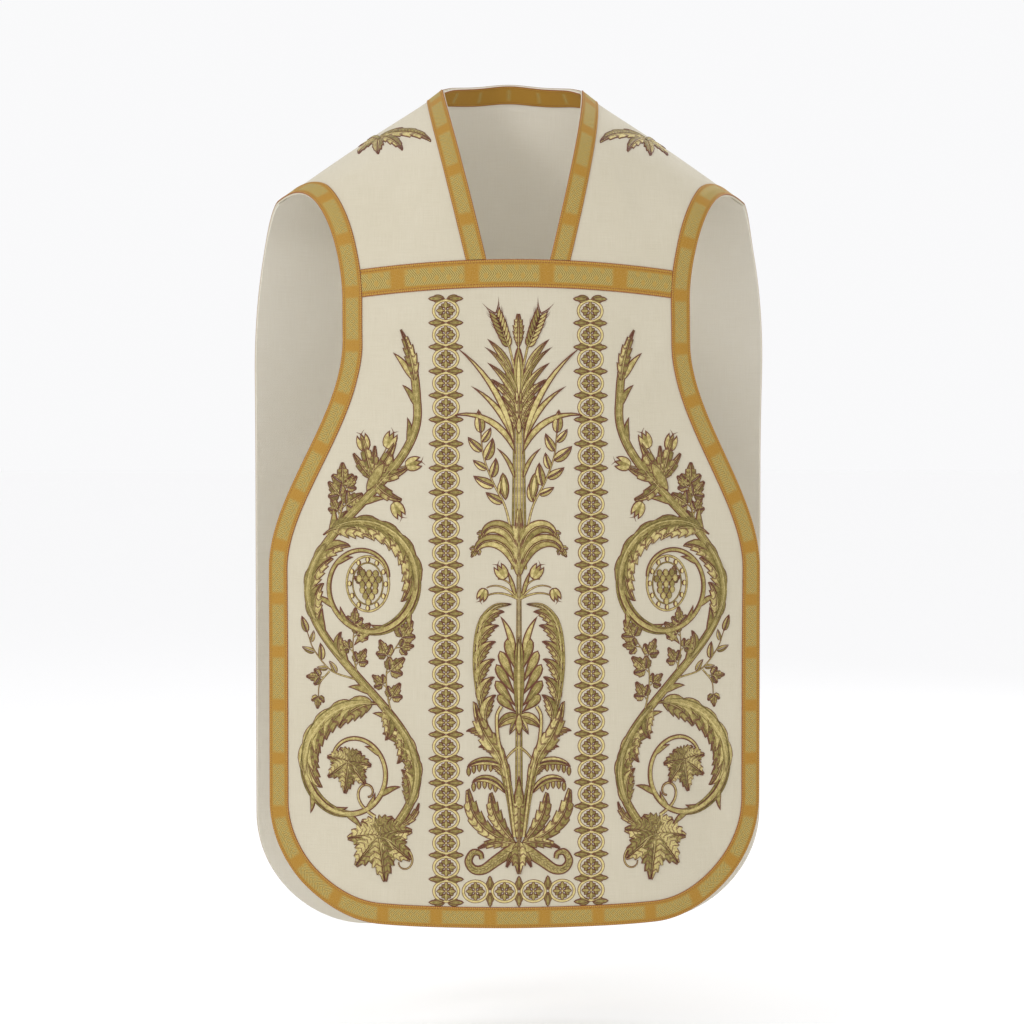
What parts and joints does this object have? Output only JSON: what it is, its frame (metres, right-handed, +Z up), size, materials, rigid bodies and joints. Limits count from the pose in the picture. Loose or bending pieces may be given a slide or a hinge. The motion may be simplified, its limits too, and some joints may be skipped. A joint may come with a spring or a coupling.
{
  "type": "roman chasuble",
  "caption": "Sleeveless fiddleback vestment in cream cloth with a V neck, chest band and woven gold braid round its edges, in its hollow worn form.",
  "frame": {"origin": "midway between the two neck points, where the garment lies on the wearer's shoulders", "axes": "+Z up; the wearer faces -Y, so the front panel is on the -Y side; +X is the wearer's left"},
  "size_m": [0.6114, 0.301, 1.0257],
  "materials": {
    "cloth": "cream plain-woven vestment cloth with a faint slub",
    "lining": "smooth cream lining with a soft sheen",
    "braid": "woven gold galloon with paler metallic patches between orange gold gaps",
    "facing": "orange gold woven facing",
    "embroidery": "gold and olive satin stitch, slightly raised",
    "outline": "dark maroon brown outline cord"
  },
  "bodies": {
    "root": {"back_panel": "cloth", "back_lining": "lining", "back_edge_braid": "braid", "nape_braid": "braid", "nape_facing": "facing", "front_panel": "cloth", "front_edge_braid": "braid", "chest_band": "braid", "yoke_left": "cloth", "yoke_right": "cloth", "neck_braid_left": "braid", "neck_braid_right": "braid"}
  },
  "joints": []
}
